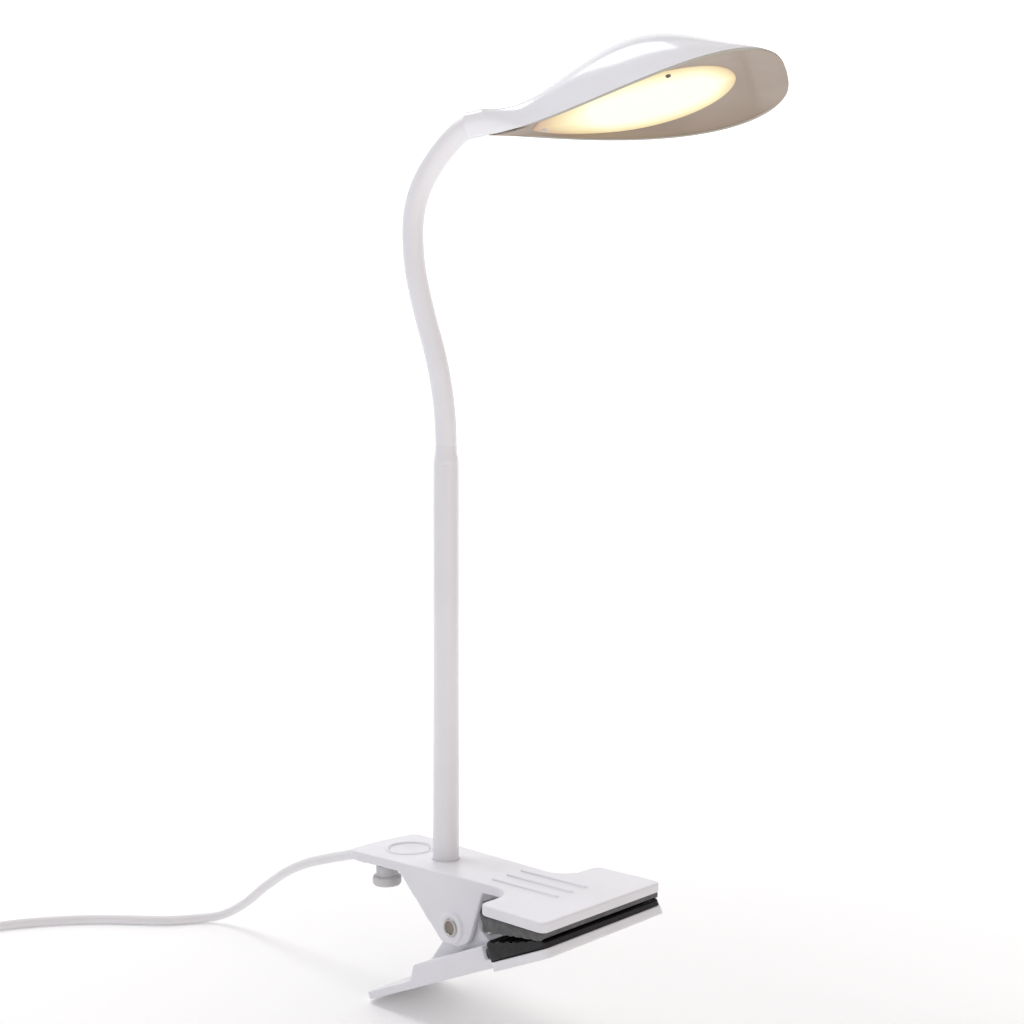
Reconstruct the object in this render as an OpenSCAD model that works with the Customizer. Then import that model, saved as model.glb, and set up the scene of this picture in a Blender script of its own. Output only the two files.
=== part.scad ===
// Clip-on reading lamp: a spring clamp, an upright tube, a flexible neck and a
// leaf-shaped head. Millimetres, +Z up. X runs along the clamp from its handle
// to its jaw. The origin is the middle of the grip, between the two pads.

/* [Clamp plate] */
// Distance from the middle of the grip back to the tube's axis
pole_back = 65; // [64:0.5:66]
// Height of the plate's top face above the middle of the grip
plate_top = 8; // [7.8:0.1:8.4]
// Height of the plate with its skirt
plate_h = 3.4; // [3.2:0.1:3.6]
// Thickness of the plate's top wall
plate_skin = 1.4; // [1.2:0.1:1.5]
// Half width of the handle at its rear end
rear_half = 18.1; // [17.5:0.1:18.5]
// Half width of the plate where it meets the wide jaw
waist_half = 13.1; // [12.8:0.1:13.4]
// Half width of the jaws
jaw_half = 31.4; // [30:0.2:32]
// Length of the wide jaw
jaw_len = 29.2; // [28.5:0.1:29.5]

/* [Clamp lever] */
// Tilt of the lever with the jaws closed, in degrees
lever_tilt = 23.5; // [23.5:0.5:24]
// Distance from the hinge down to the lever's under face
lever_drop = 17; // [17:0.1:17.4]
// Thickness of the lever's plate
lever_t = 3; // [2.6:0.1:3]
// Radius of the hinge rivet's shank
rivet_r = 2.5; // [2.3:0.1:2.5]

/* [Tube and neck] */
// Outer diameter of the upright tube
pole_d = 10; // [9.5:0.1:10]
// Height of the tube's upper end above the plate
pole_h = 150.5; // [140:0.5:160]
// Outer diameter of the flexible neck
neck_d = 8.4; // [8.2:0.1:8.4]
// Length of each of the neck's six links
link_len = 21.9; // [20:0.1:24]
// Turn of the neck's plane away from the clamp's X axis, in degrees
neck_turn = 23; // [0:1:45]

/* [Head] */
// Rise of the head's axis towards its tip, in degrees
head_rise = 3.2; // [0:0.1:6]
// Length of the head's mouth
mouth_len = 111; // [105:1:115]
// Half width of the mouth
mouth_half = 30.8; // [29:0.1:32]
// Height of the shell above its rim
crown_h = 22; // [20:0.5:24]
// Thickness of the outer shell
shell_t = 1.3; // [1.1:0.1:1.5]

/* [Cord] */
// Diameter of the cord
cord_d = 4; // [3.8:0.1:4]
// Diameter of the coil at the middle of its turns
coil_d = 45; // [44:1:46]

/* [Hidden] */
$fn = 48;
eps = 0.01;

// Clamp plate
pole_x = -pole_back;
plate_rear = pole_x - 39.5;
jaw_rear = -16;
jaw_front = jaw_rear + jaw_len;
plate_low = plate_top - plate_h;
skin_low = plate_top - plate_skin;
skirt_t = 1.5;
ear_t = 2.2;
pivot = [pole_x + 19, -10.5];
boss_r = 5.5;
boss_y = 15.6;
rivet_head_r = 3.4;
socket_r = 7.5;
socket_low = 1.6;
button_x = pole_x - 21.2;
button_r = 8;
bumper_x = pole_x - 23;
bumper_y = 10;

// Lever, in its own frame with the hinge at the origin
lever_rear = -58.6;
lever_jaw = 31.2;
lever_front = 59.3;
wall_top = -8.9;
cheek_in = 9.4;
cheek_out = 11.3;
cheek_r = 10.5;

// Neck: how far each link leans back over its length, in degrees
neck_bends = [9, 8, -5, -14, -33, -22];
neck_z = plate_top + pole_h + 7.5;
neck_r = neck_d / 2;
core_r = 2.3;
joint_gap = 0.1;
collar_r = 4.9;

// Head, in its own frame: X along the axis, Z up, origin at the neck's end
mouth_x = 8;
tube_r = 4.9;
shell_start = 0.02;
shell_x = mouth_x + shell_start * mouth_len;
rim_bow = 4;
light_at = [mouth_x + 19, -7.1];
light_rise = 3.3;
light_len = 70.5;
light_half = 18;

// Cord
floor_z = -49.4;
cord_r = cord_d / 2;
cord_z = floor_z + cord_r;
coil_at = [-318, -116];
coil_in = coil_d / 2 - 2 * cord_d;
coil_out = coil_d / 2 + 2 * cord_d;
coil_h = 2 * cord_d;
// The cord's middle line from the plate's rear wall down to the surface and on
lead_route = [
  [-104.5, -11, 4.4], [-108, -11, 3.8], [-113, -11, 2.4], [-120, -11, 0.4],
  [-128, -11, -2], [-136, -10.8, -4.5], [-144, -10.5, -7.5], [-152, -10, -11],
  [-160, -9.5, -15], [-168, -8.5, -19.5], [-176, -7.5, -24], [-184, -6.5, -29],
  [-192, -5.5, -34], [-200, -5, -38.5], [-208, -5.5, -42.8], [-215, -7, -45.8],
  [-221, -10.5, -47.2], [-225, -16, -47.4], [-229, -22, -47.4],
  [-235, -28, -47.4], [-243, -34.5, -47.4], [-252, -42, -47.4],
  [-261, -51, -47.4], [-269, -61, -47.4], [-276, -72, -47.4],
  [-281.5, -84, -47.4], [-285.5, -96, -47.4], [-288.5, -109, -47.4],
  [-290.5, -123.4, -47.4]];
// The cord's middle line from the coil to the plug
tail_route = [
  [-318, -144.5, -43.4], [-323, -144.6, -43.6], [-328, -145.2, -44.6],
  [-333, -146.2, -46], [-338, -147, -46.9]];
plug_at = [-338, -147, -46.9];

// ---- helpers ----

function unit(v) = v / norm(v);
function flip(points) = [for (i = [len(points) - 1:-1:0]) points[i]];

// Arc that rounds corner b between its neighbours a and c to radius r
function rounding(a, b, c, r) =
  let (
    u = unit(a - b),
    v = unit(c - b),
    half = acos(u * v) / 2,
    centre = b + unit(u + v) * r / sin(half),
    p = b + u * r / tan(half) - centre,
    q = b + v * r / tan(half) - centre,
    from = atan2(p.y, p.x),
    turn = (atan2(q.y, q.x) - from + 540) % 360 - 180,
    steps = 6
  )
  [for (i = [0:steps]) centre + r * [cos(from + turn * i / steps),
                                     sin(from + turn * i / steps)]];

// Outline through corners [x, y, radius], each one rounded
function rounded(corners) =
  let (n = len(corners))
  [for (i = [0:n - 1])
    let (
      here = [corners[i].x, corners[i].y],
      before = [corners[(i + n - 1) % n].x, corners[(i + n - 1) % n].y],
      after = [corners[(i + 1) % n].x, corners[(i + 1) % n].y]
    )
    each corners[i][2] > 0 ? rounding(before, here, after, corners[i][2])
                           : [here]];

// T-shaped plan of a clamp half, drawn in by d all round
function clamp_plan(rear, rear_w, jaw, waist_w, front, jaw_w, d) =
  let (
    side = [
      [jaw + d, waist_w - d, 9 + d],
      [jaw + d, jaw_w - d, max(3.5 - d, 0.4)],
      [front - d, jaw_w - d, max(2.5 - d, 0.4)]],
    corner = [rear + 1.6 + d, rear_w - d, max(4 - d, 0.4)],
    mirrored = [for (p = flip(side)) [p.x, -p.y, p[2]]]
  )
  rounded(concat(
    [[rear + d, 0, 60], [corner.x, -corner.y, corner[2]]],
    flip(mirrored), flip(side), [corner]));

module plate_plan(d) {
  polygon(clamp_plan(plate_rear, rear_half, jaw_rear, waist_half,
                     jaw_front, jaw_half, d));
}

module lever_plan(d) {
  polygon(clamp_plan(lever_rear, 17.6, lever_jaw, 15.8,
                     lever_front, jaw_half - 0.1, d));
}

// Solid with an outline in the XZ plane, between two Y values
module side_plate(y0, y1) {
  translate([0, y1, 0])
    rotate([90, 0, 0])
      linear_extrude(y1 - y0)
        children();
}

module along_y(x, z, r, y0, y1) {
  translate([x, y1, z])
    rotate([90, 0, 0])
      cylinder(r = r, h = y1 - y0);
}

module in_lever_frame() {
  translate([pivot.x, 0, pivot.y])
    rotate([0, -lever_tilt, 0])
      children();
}

// Closed solid through rings of points, the first and last ring capped
module loft(rings) {
  sides = len(rings[0]);
  last = len(rings) - 1;
  polyhedron(
    points = [for (ring = rings) each ring],
    faces = concat(
      [[for (j = [0:sides - 1]) j]],
      [[for (j = [sides - 1:-1:0]) last * sides + j]],
      [for (i = [0:last - 1], j = [0:sides - 1])
        [i * sides + j, (i + 1) * sides + j,
         (i + 1) * sides + (j + 1) % sides, i * sides + (j + 1) % sides]]),
    convexity = 8);
}

// Round cord or wire along a route
function ring_at(route, i, r, sides) =
  let (
    last = len(route) - 1,
    dir = unit(route[min(i + 1, last)] - route[max(i - 1, 0)]),
    across = unit(cross(dir, abs(dir.z) > 0.9 ? [0, 1, 0] : [0, 0, 1])),
    up = cross(dir, across)
  )
  [for (j = [0:sides - 1])
    route[i] + r * (across * cos(360 * j / sides) + up * sin(360 * j / sides))];

module cord_along(route, r, sides) {
  loft([for (i = [0:len(route) - 1]) ring_at(route, i, r, sides)]);
}

// ---- clamp, upper half ----

ear_outline = [
  [pole_x - 13, 6, 0], [pole_x - 8.7, 4.6, 4], [pole_x + 14, -17.2, 4.5],
  [pole_x + 26.2, -16.9, 8], [pole_x + 33.7, 5, 0], [pole_x + 33.7, 6, 0]];

module ears() {
  for (side = [-1, 1])
    intersection() {
      side_plate(side < 0 ? -rear_half : 0, side < 0 ? 0 : rear_half)
        polygon(rounded(ear_outline));
      translate([0, 0, -20])
        linear_extrude(30)
          difference() {
            plate_plan(0);
            plate_plan(ear_t);
          }
    }
  for (side = [-1, 1])
    along_y(pivot.x, pivot.y, boss_r,
            side < 0 ? -boss_y : 12.6, side < 0 ? -12.6 : boss_y);
}

module grip_rib(y) {
  rib_w = 1.5;
  rib_x = [pole_x + 32.4, pole_x + 63.6];
  translate([0, y, 0])
    side_plate(-rib_w / 2, rib_w / 2)
      polygon([[rib_x[0], plate_top - 0.2], [rib_x[1], plate_top - 0.2],
               [rib_x[1], plate_top + 0.3], [rib_x[1] - 0.8, plate_top + 0.6],
               [rib_x[0], plate_top + 0.1]]);
}

module upper_jaw() {
  color("white")
    difference() {
      union() {
        difference() {
          translate([0, 0, plate_low])
            linear_extrude(plate_h)
              plate_plan(0);
          // Hollow under the handle
          intersection() {
            translate([0, 0, plate_low - 1])
              linear_extrude(plate_h - plate_skin + 1)
                plate_plan(skirt_t);
            translate([plate_rear, -20, 0])
              cube([jaw_rear - 4 - plate_rear, 40, 10]);
          }
        }
        ears();
        translate([pole_x, 0, socket_low])
          cylinder(r = socket_r, h = skin_low - socket_low + 0.2);
        for (y = [-7.5, 0, 7.5])
          grip_rib(y);
        // Raised ring round the button
        translate([button_x, 0, plate_top - 0.1])
          rotate_extrude()
            polygon([[button_r + 0.7, 0], [button_r + 1.7, 0],
                     [button_r + 1.5, 0.45], [button_r + 0.9, 0.45]]);
      }
      // Hole for the button
      translate([button_x, 0, skin_low - 1])
        cylinder(r = button_r + 0.1, h = 4);
      // Seat and hole for the tube and its nipple
      translate([pole_x, 0, socket_low + 2])
        cylinder(d = pole_d + 0.04, h = 10);
      translate([pole_x, 0, socket_low - 1])
        cylinder(r = 4.1, h = 5);
      // Hinge hole through both ears
      along_y(pivot.x, pivot.y, rivet_r + 0.02, -20, 20);
      // Notch in the rear wall for the cord's grommet
      translate([plate_rear - 1, -11, 4.4])
        rotate([0, 90, 0])
          cylinder(r = 2.6, h = 6);
    }
}

module upper_pad() {
  color("dimgray")
    side_plate(-jaw_half + 0.5, jaw_half - 0.5)
      polygon([[jaw_rear + 0.8, plate_low], [jaw_rear + 0.8, -1.2],
               [jaw_rear + 1.8, -1.5],
               for (i = [0:24]) [jaw_rear + 3 + i, pad_line(i) + tooth(i)],
               [jaw_front - 0.6, 2.9], [jaw_front - 0.6, plate_low]]);
}

// Underside of the upper pad, and its shallow teeth, i mm along
function pad_line(i) = -1.15 + i * 0.152;
function tooth(i) = 0.25 * sin(i * 90);

module base_cover() {
  x0 = plate_rear + 7;
  x1 = pole_x - 9.5;
  color("white")
    difference() {
      translate([x0, -12.5, 3.4])
        cube([x1 - x0, 25, skin_low - 3.4]);
      translate([x0 + 1, -11.5, 4.2])
        cube([x1 - x0 - 2, 23, 5]);
      // Hole for the wires
      translate([x0 - 1, -9.5, 5.6])
        rotate([0, 90, 0])
          cylinder(r = 0.8, h = 3);
      for (y = [-9, 9])
        translate([x1 - 3, y, 3])
          cylinder(r = 1.1, h = 2);
    }
}

module cover_screws() {
  x1 = pole_x - 9.5;
  color("silver")
    for (y = [-9, 9])
      translate([x1 - 3, y, 2.6])
        difference() {
          union() {
            cylinder(r = 1.7, h = 0.8);
            cylinder(r = 0.95, h = 3.9);
          }
          translate([0, 0, -0.2])
            cylinder(r = 0.7, h = 0.7, $fn = 6);
        }
}

module control_board() {
  color("darkgreen")
    difference() {
      translate([plate_rear + 8.3, -11.2, 4.2])
        cube([20.4, 22.4, 0.6]);
      for (y = [-9, 9])
        translate([pole_x - 12.5, y, 4])
          cylinder(r = 1.9, h = 2);
    }
}

module snap_dome() {
  color("silver")
    translate([button_x, 0, 4.8])
      difference() {
        cylinder(r1 = 3, r2 = 2.2, h = 0.5);
        translate([0, 0, -eps])
          cylinder(r1 = 2.7, r2 = 1.9, h = 0.3);
      }
}

module switch_button() {
  color("white")
    translate([button_x, 0, 0])
      rotate_extrude()
        polygon([[0, 6], [1.2, 6], [1.2, 6.1], [button_r + 1.2, 6.1],
                 [button_r + 1.2, skin_low - 0.1], [button_r, skin_low - 0.1],
                 [button_r, plate_top - 0.2], [button_r - 0.4, plate_top - 0.02],
                 [0, plate_top - 0.1]]);
}

module stop_bumpers() {
  color("white")
    for (y = [-bumper_y, bumper_y])
      translate([bumper_x, y, 0])
        rotate_extrude()
          polygon([[0, 3.4], [4.3, 3.4], [4.3, -0.7], [5.2, -0.7],
                   [5.6, -1.2], [5.6, -3.8], [5.1, -4.4], [0, -4.4]]);
}

// ---- clamp, lower half ----

module lever_walls() {
  // Side walls that carry the cheeks
  intersection() {
    side_plate(-20, 20)
      polygon(rounded([
        [-32, -16.5, 0], [-32, -14, 0], [-28.5, -14, 3], [-24.5, wall_top, 1.5],
        [14, wall_top, 1], [14, -16.5, 0]]));
    translate([0, 0, -lever_drop])
      linear_extrude(12)
        difference() {
          lever_plan(0);
          lever_plan(1.6);
        }
  }
  // Ledge from each wall in to its cheek
  for (side = [-1, 1])
    intersection() {
      translate([-22.5, side < 0 ? -20 : cheek_in, wall_top - 1.5])
        cube([36.5, 20 - cheek_in, 1.5]);
      translate([0, 0, -lever_drop])
        linear_extrude(12)
          lever_plan(0);
    }
}

module lower_jaw() {
  color("white")
    in_lever_frame()
      difference() {
        union() {
          translate([0, 0, -lever_drop])
            linear_extrude(lever_t)
              lever_plan(0);
          lever_walls();
          for (y = [-cheek_out, cheek_in])
            side_plate(y, y + cheek_out - cheek_in)
              union() {
                circle(r = cheek_r);
                polygon([[-21, -15.5], [-21, -9.2], [-10, -3.2], [0, 0],
                         [10, -3.2], [14, -9.2], [14, -15.5]]);
              }
        }
        along_y(0, 0, rivet_r + 0.05, -20, 20);
      }
}

// Top of the lower pad at x in the lever's frame, with its wavy cross ribs
function lower_pad_top(x) =
  -7.3 - (x - 33) * 0.188 + 0.3 * sin((x - 33) * 90);

module lower_pad() {
  color("black")
    in_lever_frame()
      side_plate(-jaw_half + 0.6, jaw_half - 0.6)
        polygon([[32, -lever_drop + lever_t], [32, -7.6],
                 for (i = [0:48]) [33 + i / 2, lower_pad_top(33 + i / 2)],
                 [58.6, -12.2], [58.6, -lever_drop + lever_t]]);
}

module hinge_rivet() {
  color("silver")
    difference() {
      union() {
        along_y(pivot.x, pivot.y, rivet_r, -boss_y - 0.4, boss_y + 0.4);
        for (side = [-1, 1])
          along_y(pivot.x, pivot.y, rivet_head_r,
                  side < 0 ? -boss_y - 0.7 : boss_y,
                  side < 0 ? -boss_y : boss_y + 0.7);
      }
      along_y(pivot.x, pivot.y, rivet_r - 0.6, -20, 20);
    }
}

// Double torsion spring: two coils on the rivet with a leg at each end
spring_wire = 0.75;
spring_r = 4.7;
function coil_points(turns, pitch, y0, phase) = [
  for (i = [0:turns * 12])
    [pivot.x + spring_r * cos(phase + i * 30), y0 + pitch * i / 12,
     pivot.y + spring_r * sin(phase + i * 30)]];

module jaw_spring() {
  turns = 8.5;
  first_leg = [[pole_x - 6, -8.4, 3.6], [pole_x + 4, -8.4, 0.6]];
  last_leg = [[pivot.x - 14, 8.4, pivot.y - 13], [pivot.x - 24, 8.4, -32.5]];
  color("silver")
    cord_along(concat(first_leg, coil_points(turns, 1.85, -7.8, 100), last_leg),
               spring_wire, 8);
}

// ---- tube ----

module pole_tube() {
  color("white")
    translate([pole_x, 0, socket_low + 2])
      difference() {
        cylinder(d = pole_d, h = plate_top + pole_h - socket_low - 2);
        translate([0, 0, -1])
          cylinder(r = 4.15, h = 200);
      }
}

module pole_nipple() {
  color("silver")
    translate([pole_x, 0, -4])
      difference() {
        cylinder(r = 4, h = 22);
        translate([0, 0, -1])
          cylinder(r = 2.6, h = 24);
      }
}

module pole_washer() {
  color("silver")
    translate([pole_x, 0, 0.8])
      difference() {
        cylinder(r = 6.8, h = 0.8);
        translate([0, 0, -1])
          cylinder(r = 4.05, h = 3);
      }
}

module pole_nut() {
  color("silver")
    translate([pole_x, 0, -2.4])
      difference() {
        cylinder(r = 7, h = 3.2, $fn = 6);
        translate([0, 0, -1])
          cylinder(r = 4, h = 6);
      }
}

module pole_lead() {
  color("white")
    translate([pole_x, 0, -6])
      cylinder(r = 1.2, h = neck_z - 2);
}

module pole_ferrule() {
  color("white")
    difference() {
      union() {
        translate([pole_x, 0, plate_top + pole_h - 6])
          cylinder(r = 4.1, h = 6 + eps);
        translate([pole_x, 0, plate_top + pole_h])
          rotate_extrude()
            polygon([[0, 0], [pole_d / 2, 0], [pole_d / 2, 0.6],
                     [neck_r, 6.3], [neck_r, 7.5], [0, 7.5]]);
        joint_ball([pole_x, neck_z], 0, neck_r - 0.05);
      }
      translate([pole_x, 0, 100])
        cylinder(r = core_r + 0.1, h = 100);
      translate([pole_x, 0, neck_z - 0.8])
        cylinder(r = 3.35, h = 10);
    }
}

// ---- neck ----

// Lean of the neck where link k starts, and the joint's place [r, z]
function lean(k) = k == 0 ? 0 : lean(k - 1) + neck_bends[k - 1];
function knot(k) =
  k == 0 ? [0, neck_z]
         : let (
             bend = neck_bends[k - 1],
             chord = 2 * link_len / (bend * PI / 180) * sin(bend / 2),
             dir = lean(k - 1) + bend / 2
           )
           knot(k - 1) + chord * [-sin(dir), cos(dir)];

module in_neck_plane() {
  translate([pole_x, 0, 0])
    rotate([0, 0, neck_turn])
      children();
}

// Round bar along link k
module link_bar(k, r) {
  bend = neck_bends[k];
  big = link_len / (abs(bend) * PI / 180);
  back = bend > 0 ? 1 : -1;
  centre = knot(k) - back * big * [cos(lean(k)), sin(lean(k))];
  start = bend > 0 ? lean(k) : lean(k) + 180 + bend;
  translate([centre.x, 0, centre.y])
    rotate([90, 0, 0])
      rotate([0, 0, start])
        rotate_extrude(angle = abs(bend), $fn = 96)
          translate([big, 0])
            circle(r = r);
}

// Cap of a ball at a joint, which fills the gap to the next link
module joint_ball(at, tilt, r) {
  translate([at.x, 0, at.y])
    rotate([0, -tilt, 0])
      intersection() {
        sphere(r = r);
        translate([0, 0, -1])
          cylinder(r = r + 1, h = 2.6);
      }
}

module at_knot(k) {
  translate([knot(k).x, 0, knot(k).y])
    rotate([0, -lean(k), 0])
      children();
}

module sleeve(k) {
  color("white")
    in_neck_plane()
      difference() {
        union() {
          link_bar(k, neck_r);
          if (k < 5)
            joint_ball(knot(k + 1), lean(k + 1), neck_r - 0.05);
        }
        link_bar(k, core_r + joint_gap);
        at_knot(k)
          sphere(r = neck_r + joint_gap);
        at_knot(k + 1)
          if (k < 5)
            translate([0, 0, -0.8])
              cylinder(r = 3.35, h = 10);
          else
            sphere(r = collar_r + 0.15);
      }
}

module core(k) {
  color("gray")
    in_neck_plane()
      difference() {
        union() {
          link_bar(k, core_r);
          if (k < 5)
            at_knot(k + 1)
              translate([0, 0, -0.6])
                cylinder(r = core_r - 0.6, h = 2);
        }
        at_knot(k)
          sphere(r = core_r + joint_gap);
        if (k == 5)
          at_knot(k + 1)
            sphere(r = collar_r + 0.15);
      }
}

// ---- head ----

module in_head_frame() {
  in_neck_plane()
    translate([knot(6).x, 0, knot(6).y])
      rotate([0, -head_rise, 0])
        children();
}

// Bump of height h over s = 0..1 that rises as s^p and falls as (1-s)^q
function bump(s, h, p, q) =
  h * pow(s, p) * pow(1 - s, q)
  / (pow(p / (p + q), p) * pow(q / (p + q), q));

// Rim's half width and height, and the crown's height, s from 0 to 1 along it
function rim_half(s, inset) = bump(s, mouth_half - inset, 1.31, 0.37);
function rim_z(s) = -tube_r - rim_bow * 4 * s * (1 - s);
function crown_z(s, inset) =
  rim_z(s) + 2 * (tube_r - inset) * pow(1 - s, 1.5)
  + inset * pow(1 - s, 6) + bump(s, crown_h - inset, 2.25, 1.76);

// Half section of the shell at s, from one rim over the crown to the other
function shell_arc(s, inset, steps) =
  let (
    rim = rim_half(s, inset),
    neck = (tube_r - inset) * pow(1 - s, 2),
    half = max(pow(pow(rim, 4) + pow(neck, 4), 0.25), 0.05),
    below = acos(min(1, rim / half)),
    sink = (tube_r - inset) * sin(below),
    mid = rim_z(s) + sink + inset * pow(1 - s, 6),
    rise = max(crown_z(s, inset) - mid, 0.05)
  )
  [for (i = [0:steps])
    let (a = -below + (180 + 2 * below) * i / steps)
    [half * cos(a), mid + (sin(a) >= 0 ? rise : tube_r - inset) * sin(a)]];

// Loft of horseshoe rings, whose two ends are closed by strips of quads
module arch_loft(rings) {
  sides = len(rings[0]);
  half = sides / 2;
  last = (len(rings) - 1) * sides;
  polyhedron(
    points = [for (ring = rings) each ring],
    faces = concat(
      [for (j = [0:half - 2]) [j, j + 1, sides - 2 - j, sides - 1 - j]],
      [for (j = [0:half - 2])
        [last + sides - 1 - j, last + sides - 2 - j, last + j + 1, last + j]],
      [for (i = [0:len(rings) - 2], j = [0:sides - 1])
        [i * sides + j, (i + 1) * sides + j,
         (i + 1) * sides + (j + 1) % sides, i * sides + (j + 1) % sides]]),
    convexity = 8);
}

// Thin leaf-shaped shell between two insets
module leaf_shell(outer, inner, s0, s1, steps_along, steps_over) {
  rings = [for (i = [0:steps_along])
    let (
      s = s0 + (s1 - s0) * (1 - cos(180 * i / steps_along)) / 2,
      inner_x = mouth_x + (mouth_len - inner) * s,
      outer_x = mouth_x + (mouth_len - outer) * s
    )
    concat(
      [for (p = shell_arc(s, outer, steps_over)) [outer_x, p.x, p.y]],
      [for (p = flip(shell_arc(s, inner, steps_over))) [inner_x, p.x, p.y]])];
  arch_loft(rings);
}

module head_collar() {
  // Ball that turns in the last link's cup, tube, and spigot inside the shell
  ball = [for (a = [-75:7.5:0]) collar_r * [cos(a), sin(a)]];
  bore = collar_r * cos(75);
  color("white")
    in_head_frame()
      rotate([0, 90, 0])
        rotate_extrude()
          polygon(concat(ball, [[collar_r, shell_x - 0.1], [2.7, shell_x - 0.1],
                                [2.7, shell_x + 1.6], [bore, shell_x + 1.6]]));
}

module head_shell() {
  color("white")
    in_head_frame()
      leaf_shell(0, shell_t, shell_start, 0.985, 20, 16);
}

module head_liner() {
  color("linen")
    in_head_frame()
      leaf_shell(shell_t + 0.35, shell_t + 1.15, 0.24, 0.955, 16, 14);
}

// Frame of the light panel: origin at its rear tip, on its under face
module in_light_frame() {
  in_head_frame()
    translate([light_at.x, 0, light_at.y])
      rotate([0, -light_rise, 0])
        children();
}

// Leaf outline of the light panel, drawn in by d
function light_leaf(d) =
  let (
    half = [for (i = [0:20])
      let (s = (1 - cos(9 * i)) / 2)
      [d + (light_len - 2 * d) * s, bump(s, light_half - d, 0.75, 0.5)]]
  )
  concat(half, [for (i = [19:-1:1]) [half[i].x, -half[i].y]]);

screw_spots = [[4.5, 0], [53.5, -14.3]];

module diffuser() {
  color("lightyellow")
    in_light_frame()
      difference() {
        linear_extrude(3.2)
          polygon(light_leaf(0));
        translate([0, 0, 1.2])
          linear_extrude(3)
            polygon(light_leaf(1.2));
      }
}

module led_board() {
  color("ivory")
    in_light_frame()
      translate([0, 0, 3.2])
        linear_extrude(0.8)
          polygon(light_leaf(1.2));
}

module leds() {
  color("khaki")
    in_light_frame()
      for (x = [20:10:60], y = [-8, 0, 8])
        translate([x - 1.4, y - 1.4, 2.5])
          cube([2.8, 2.8, 0.7]);
}

module heat_spreader() {
  color("silver")
    in_light_frame()
      translate([0, 0, 4])
        linear_extrude(1)
          polygon(light_leaf(2.5));
}

module head_lead() {
  color("white")
    in_head_frame()
      cord_along([[13, 0, 0.2], [17, 0, 0], [21, 0, -0.3], [25, 0, -0.7],
                  [28.8, 0, -1.2]], 0.8, 8);
}

module head_screws() {
  color("dimgray")
    in_light_frame()
      for (p = screw_spots)
        translate([p.x, p.y, -0.5])
          difference() {
            cylinder(r = 1.2, h = 0.5);
            translate([0, 0, -0.1])
              cylinder(r = 0.6, h = 0.3, $fn = 6);
          }
}

// ---- cord ----

module cord_grommet() {
  color("whitesmoke")
    translate([plate_rear, -11, 4.4])
      rotate([0, 90, 0])
        cylinder(r = 2.55, h = 4.8);
}

module cord_lead() {
  color("whitesmoke")
    cord_along(lead_route, cord_r, 8);
}

module cord_coil() {
  edge = 1.5;
  color("whitesmoke")
    translate([coil_at.x, coil_at.y, floor_z])
      rotate_extrude()
        polygon([[coil_in + edge, 0], [coil_out - edge, 0], [coil_out, edge],
                 [coil_out, coil_h - edge], [coil_out - edge, coil_h],
                 [coil_in + edge, coil_h], [coil_in, coil_h - edge],
                 [coil_in, edge]]);
}

module cord_tie() {
  tie_w = 6;
  color("gray")
    translate([coil_at.x - coil_out - 1, coil_at.y - tie_w / 2, floor_z])
      difference() {
        cube([coil_out - coil_in + 2.6, tie_w, coil_h + 1]);
        translate([0.9, -1, -1])
          cube([coil_out - coil_in + 0.7, tie_w + 2, coil_h + 1]);
      }
}

module cord_tail() {
  color("whitesmoke")
    cord_along(tail_route, cord_r, 8);
}

module plug_grip() {
  color("whitesmoke")
    translate(plug_at)
      rotate([0, -90, 0]) {
        rotate_extrude()
          polygon([[0, 0], [2.3, 0], [2.9, 8], [0, 8]]);
        translate([-2.4, -7.6, 8])
          cube([7.5, 15.2, 20]);
      }
}

module plug_shell() {
  color("silver")
    translate(plug_at)
      rotate([0, -90, 0])
        translate([-0.9, -6, 28])
          difference() {
            cube([4.5, 12, 12]);
            translate([0.3, 0.3, 0.5])
              cube([3.9, 11.4, 12]);
          }
}

module plug_tongue() {
  color("black")
    translate(plug_at)
      rotate([0, -90, 0])
        translate([-0.6, -5.5, 28.5])
          cube([1.8, 11, 10.5]);
}

// ---- nodes ----

upper_jaw();
base_cover();
cover_screws();
control_board();
snap_dome();
switch_button();
stop_bumpers();
upper_pad();
lower_jaw();
lower_pad();
hinge_rivet();
jaw_spring();
pole_tube();
pole_nipple();
pole_washer();
pole_nut();
pole_lead();
pole_ferrule();
sleeve(0);  // neck_sleeve_1
sleeve(1);  // neck_sleeve_2
sleeve(2);  // neck_sleeve_3
sleeve(3);  // neck_sleeve_4
sleeve(4);  // neck_sleeve_5
sleeve(5);  // neck_sleeve_6
core(0);  // neck_core_1
core(1);  // neck_core_2
core(2);  // neck_core_3
core(3);  // neck_core_4
core(4);  // neck_core_5
core(5);  // neck_core_6
head_collar();
head_shell();
head_liner();
diffuser();
led_board();
leds();
heat_spreader();
head_lead();
head_screws();
cord_grommet();
cord_lead();
cord_coil();
cord_tie();
cord_tail();
plug_grip();
plug_shell();
plug_tongue();
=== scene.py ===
"""Clip-on reading lamp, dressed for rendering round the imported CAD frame.

Blender works in metres, +Z up. The shapes here are given in mm and scaled by MM, except where a
value is said to be in metres.
"""
import math

import bmesh
import bpy
from mathutils import Matrix, Vector


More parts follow.
